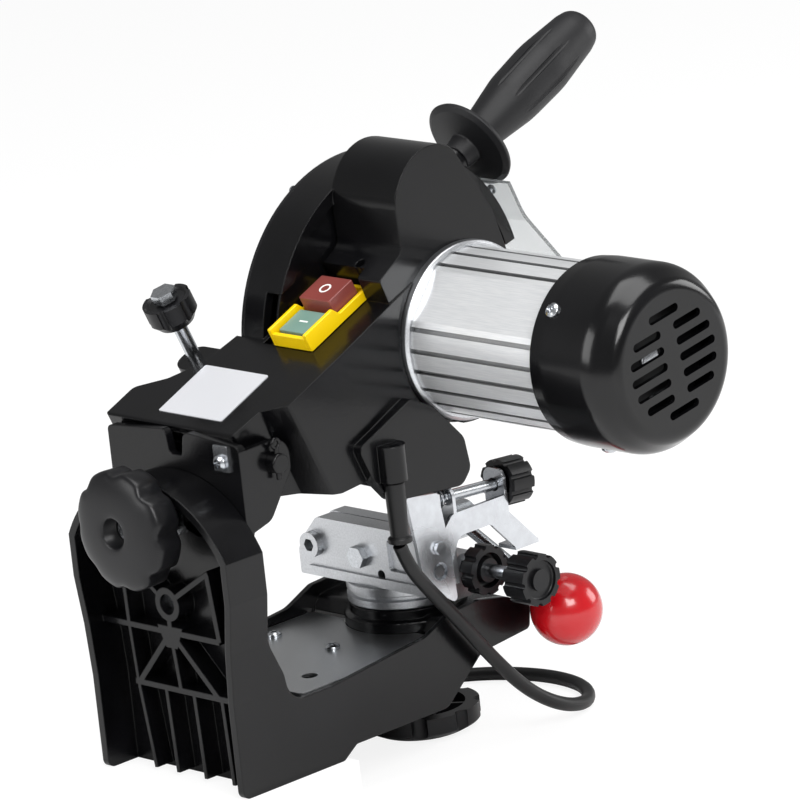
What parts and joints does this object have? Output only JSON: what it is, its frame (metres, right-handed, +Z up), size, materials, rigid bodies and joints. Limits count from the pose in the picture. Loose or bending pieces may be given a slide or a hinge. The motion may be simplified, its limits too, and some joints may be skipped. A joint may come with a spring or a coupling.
{
  "type": "electric chainsaw sharpener",
  "caption": "Bench chain grinder: tilting motor head with disc guard over a swivelling chain vise on a cast base, with side motor, switch, depth stop and mains cord.",
  "frame": {"origin": "underside of the foot at the middle of its rear edge, where the foot sits on the bench", "axes": "+X the operator's right, -Y towards the operator, +Z up"},
  "size_m": [0.345, 0.3493, 0.3333],
  "materials": {
    "black_casting": "gloss",
    "black_steel": "gloss",
    "zinc_steel": "satin",
    "steel": "satin",
    "stainless": "satin",
    "raw_aluminium": "satin",
    "black_plastic": "satin",
    "grip_plastic": "matt",
    "yellow_plastic": "gloss",
    "red_plastic": "gloss",
    "green_plastic": "gloss",
    "red_ball": "gloss",
    "clear_shield": "gloss",
    "abrasive": "matt",
    "cord_pvc": "satin",
    "electrical_steel": "matt"
  },
  "bodies": {
    "base": {"base_casting": "black_casting", "deck_plate": "stainless", "deck_screws": "steel", "power_cord": "cord_pvc", "cord_coil": "cord_pvc", "mains_plug": "cord_pvc"},
    "bracket": {"tilt_bracket": "black_steel", "tilt_pivot_bolt": "steel", "tilt_clamp_bolt": "steel", "tilt_washer": "steel", "pin_clip": "zinc_steel", "pin_clip_screw": "steel", "hinge_pin": "black_steel", "hinge_split_pin": "black_steel", "lift_spring": "steel"},
    "tilt_knob": {"tilt_knob": "black_plastic"},
    "head": {"head_housing": "black_casting", "guard_cover": "black_plastic", "guard_screws": "steel", "label_plate": "stainless", "switch_frame": "yellow_plastic", "handle_grip": "grip_plastic", "handle_stud": "steel", "eye_shield": "clear_shield", "motor_flange": "zinc_steel", "motor_body": "raw_aluminium", "motor_end_cap": "black_plastic", "motor_cap_screws": "steel", "motor_rear_bell": "raw_aluminium", "motor_bearings": "steel", "stator": "electrical_steel", "cord_sleeve": "cord_pvc"},
    "rotor": {"rotor_core": "electrical_steel", "rotor_shaft": "steel", "cooling_fan": "black_plastic", "wheel_flanges": "steel", "grinding_wheel": "abrasive", "wheel_nut": "steel"},
    "start_button": {"start_button": "green_plastic"},
    "stop_button": {"stop_button": "red_plastic"},
    "depth_screw": {"depth_stop_screw": "steel"},
    "depth_knob": {"depth_stop_knob": "black_plastic"},
    "table": {"turntable": "raw_aluminium", "fixed_jaw": "raw_aluminium", "jaw_bolt": "steel", "jaw_bolt_nut": "steel", "turntable_bolt": "steel", "stop_bracket": "zinc_steel", "stop_pins": "steel", "stop_spring": "steel"},
    "turntable_knob": {"turntable_knob": "black_plastic"},
    "moving_jaw": {"moving_jaw": "raw_aluminium"},
    "clamp_lever": {"clamp_lever": "steel", "clamp_ball": "red_ball"},
    "stop_pawl": {"stop_plate": "zinc_steel"},
    "stop_screw": {"stop_screw": "steel"},
    "stop_knob": {"stop_knob": "black_plastic"},
    "feed_screw": {"feed_rod": "steel", "feed_knob": "black_plastic"},
    "feed_lock": {"feed_lock_knob": "black_plastic"}
  },
  "joints": [
    {"name": "head_tilt", "type": "hinge", "parent": "base", "child": "bracket", "pos_m": [0, -0.02, 0.088], "axis": [0, 1, 0], "range_deg": [-6, 9], "deforming": ["power_cord"]},
    {"name": "tilt_knob_turn", "type": "hinge", "parent": "bracket", "child": "tilt_knob", "pos_m": [0, 0, 0.131], "axis": [0, 1, 0], "range_deg": [0, 540]},
    {"name": "head_chop", "type": "hinge", "parent": "bracket", "child": "head", "pos_m": [0, -0.045, 0.1555], "axis": [1, 0, 0], "range_deg": [0, 6], "stiffness_Nm_per_rad": 12, "springref_deg": -51.57, "deforming": ["cord_sleeve", "lift_spring"]},
    {"name": "rotor_spin", "type": "hinge", "parent": "head", "child": "rotor", "pos_m": [0, -0.17544, 0.18842], "axis": [1, 0, 0], "continuous": true},
    {"name": "start_press", "type": "slide", "parent": "head", "child": "start_button", "axis": [0, -0.3923, -0.9198], "range_m": [0, 0.0025], "stiffness_N_per_m": 400, "springref_m": -0.001},
    {"name": "stop_press", "type": "slide", "parent": "head", "child": "stop_button", "axis": [0, -0.3923, -0.9198], "range_m": [0, 0.0025], "stiffness_N_per_m": 400, "springref_m": -0.001},
    {"name": "depth_knob_turn", "type": "hinge", "parent": "depth_screw", "child": "depth_knob", "pos_m": [0.039, -0.06494, 0.21836], "axis": [0, 0.3923, 0.9198], "range_deg": [-720, 720]},
    {"name": "depth_travel", "type": "slide", "parent": "head", "child": "depth_screw", "axis": [0, 0.3923, 0.9198], "range_m": [-0.0025, 0.0025]},
    {"name": "turntable_swing", "type": "hinge", "parent": "base", "child": "table", "pos_m": [-0.002, -0.163, 0.05], "axis": [0, 0, 1], "range_deg": [-25, 3]},
    {"name": "turntable_knob_turn", "type": "hinge", "parent": "table", "child": "turntable_knob", "pos_m": [-0.002, -0.163, 0], "axis": [0, 0, 1], "range_deg": [0, 540]},
    {"name": "clamp_lever_press", "type": "hinge", "parent": "table", "child": "clamp_lever", "pos_m": [0, -0.2036, 0.077], "axis": [0, 1, 0], "range_deg": [0, 9]},
    {"name": "jaw_close", "type": "slide", "parent": "table", "child": "moving_jaw", "axis": [0, 1, 0], "range_m": [0, 0.0012]},
    {"name": "stop_knob_turn", "type": "hinge", "parent": "table", "child": "stop_knob", "pos_m": [-0.0395, -0.20286, 0.10285], "axis": [0, -0.9972, -0.075], "range_deg": [-360, 360]},
    {"name": "stop_travel", "type": "slide", "parent": "table", "child": "stop_screw", "axis": [0, -0.9972, -0.075], "range_m": [-0.001, 0.001]},
    {"name": "stop_swing", "type": "hinge", "parent": "table", "child": "stop_pawl", "pos_m": [-0.048, -0.143, 0.086], "axis": [1, 0, 0], "range_deg": [-2.8, 2.8], "deforming": ["stop_spring"]},
    {"name": "feed_turn", "type": "hinge", "parent": "table", "child": "feed_screw", "pos_m": [-0.06, -0.172, 0.067], "axis": [-1, 0, 0], "range_deg": [-720, 720]},
    {"name": "feed_lock_turn", "type": "hinge", "parent": "table", "child": "feed_lock", "pos_m": [-0.049, -0.172, 0.067], "axis": [-1, 0, 0], "range_deg": [0, 270]}
  ],
  "couplings": [
    {"joint": "depth_knob_turn", "follows": "depth_travel", "rad_per_m": -5026.5},
    {"joint": "clamp_lever_press", "follows": "jaw_close", "rad_per_m": 130.89},
    {"joint": "stop_knob_turn", "follows": "stop_travel", "rad_per_m": 6283},
    {"joint": "stop_swing", "follows": "stop_travel", "rad_per_m": 47.39}
  ]
}
